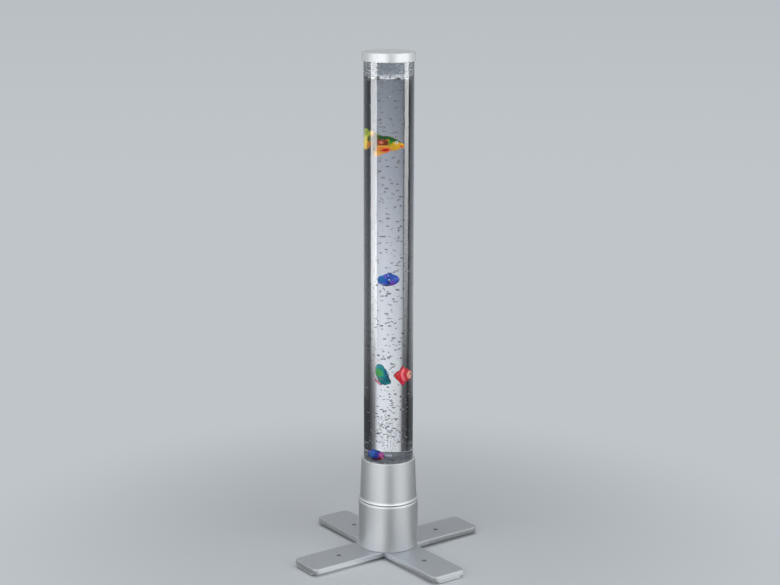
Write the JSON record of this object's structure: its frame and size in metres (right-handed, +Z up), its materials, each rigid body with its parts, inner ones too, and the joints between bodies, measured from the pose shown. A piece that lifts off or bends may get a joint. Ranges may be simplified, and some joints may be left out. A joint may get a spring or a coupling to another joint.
{
  "type": "water column lamp",
  "caption": "Floor lamp with a clear water-filled tube of rising bubbles and plastic fish on a round silver base with a flat cross foot.",
  "frame": {"origin": "middle of the cross, on the surface that the lamp stands on", "axes": "+Z up along the tube, -Y the front as pictured, +X to the right seen from the front"},
  "size_m": [0.4094, 0.4094, 1.13],
  "materials": {
    "silver_shell": "satin silver lacquer",
    "silver_cross": "satin silver lacquer, slightly darker and bluer",
    "silver_foot": "satin",
    "clear_tube": "clear polished acrylic",
    "frosted_floor": "frosted, translucent",
    "rubber": "matte",
    "steel": "zinc plated",
    "copper_coil": "enamelled copper wire",
    "black_plastic": "fine grain",
    "grey_plastic": "fine grain",
    "white_plastic": "moulded",
    "led_lens": "clear epoxy, milky",
    "air_stone": "sintered, porous",
    "circuit_board": "solder mask",
    "silicone_hose": "translucent silicone",
    "wire_sleeve": "satin sleeve",
    "fish_yellow": "painted in green, orange and yellow",
    "fish_blue": "painted in blues with violet specks",
    "fish_teal": "painted in green, teal and dark blue",
    "fish_red": "painted in red with pale pink bands",
    "fish_violet": "painted in blue, violet and red"
  },
  "bodies": {
    "base_and_tube": {"lower_shell": "silver_shell", "upper_collar": "silver_shell", "cross_bar_upper": "silver_cross", "cross_bar_lower": "silver_cross", "foot_block_1": "silver_foot", "foot_block_2": "silver_foot", "foot_block_3": "silver_foot", "foot_block_4": "silver_foot", "acrylic_tube": "clear_tube", "tube_floor": "frosted_floor", "foot_pad_1": "rubber", "foot_pad_2": "rubber", "foot_pad_3": "rubber", "foot_pad_4": "rubber", "tube_gasket": "rubber", "nozzle_washer": "rubber", "pump_diaphragm": "rubber", "pump_mat": "rubber", "base_plate": "steel", "base_screw_1": "steel", "base_screw_2": "steel", "base_screw_3": "steel", "base_screw_4": "steel", "carrier_screw_1": "steel", "carrier_screw_2": "steel", "carrier_screw_3": "steel", "pump_core": "steel", "jack_nut": "steel", "pump_coil": "copper_coil", "tube_carrier": "black_plastic", "dc_jack": "black_plastic", "switch_body": "black_plastic", "air_nozzle": "grey_plastic", "pump_case_lower": "grey_plastic", "pump_case_upper": "grey_plastic", "nozzle_nut": "white_plastic", "check_valve": "white_plastic", "pump_valve_block": "white_plastic", "led_1": "led_lens", "led_2": "led_lens", "led_3": "led_lens", "led_4": "led_lens", "air_stone": "air_stone", "led_board": "circuit_board", "control_board": "circuit_board", "air_hose_lower": "silicone_hose", "air_hose_upper": "silicone_hose", "wire_jack": "wire_sleeve", "wire_switch": "wire_sleeve", "wire_pump": "wire_sleeve", "wire_led": "wire_sleeve"},
    "cap": {"top_cap": "silver_shell", "cap_seal": "rubber"},
    "button": {"switch_button": "grey_plastic"},
    "pump_arm": {"pump_armature": "steel"},
    "body_fish_yellow": {"fish_yellow": "fish_yellow"},
    "body_fish_blue": {"fish_blue": "fish_blue"},
    "body_fish_teal": {"fish_teal": "fish_teal"},
    "body_fish_red": {"fish_red": "fish_red"},
    "body_fish_violet": {"fish_violet": "fish_violet"}
  },
  "joints": [
    {"name": "cap_lift", "type": "slide", "parent": "base_and_tube", "child": "cap", "axis": [0, 0, 1], "range_m": [0, 0.06]},
    {"name": "button_press", "type": "slide", "parent": "base_and_tube", "child": "button", "axis": [0, -1, 0], "range_m": [0, 0.0015], "stiffness_N_per_m": 400},
    {"name": "pump_arm_swing", "type": "hinge", "parent": "base_and_tube", "child": "pump_arm", "pos_m": [-0.0035, 0.0055, 0.045], "axis": [0, 0, 1], "range_deg": [-1.5, 1.5], "stiffness_Nm_per_rad": 0.2},
    {"name": "fish_yellow_float", "type": "slide", "parent": "base_and_tube", "child": "body_fish_yellow", "axis": [0, 0, 1], "range_m": [-0.12, 0.1]},
    {"name": "fish_blue_float", "type": "slide", "parent": "base_and_tube", "child": "body_fish_blue", "axis": [0, 0, 1], "range_m": [-0.07, 0.12]},
    {"name": "fish_teal_float", "type": "slide", "parent": "base_and_tube", "child": "body_fish_teal", "axis": [0, 0, 1], "range_m": [-0.1, 0.1]},
    {"name": "fish_red_float", "type": "slide", "parent": "base_and_tube", "child": "body_fish_red", "axis": [0, 0, 1], "range_m": [-0.1, 0.1]},
    {"name": "fish_violet_float", "type": "slide", "parent": "base_and_tube", "child": "body_fish_violet", "axis": [0, 0, 1], "range_m": [0, 0.03]}
  ]
}
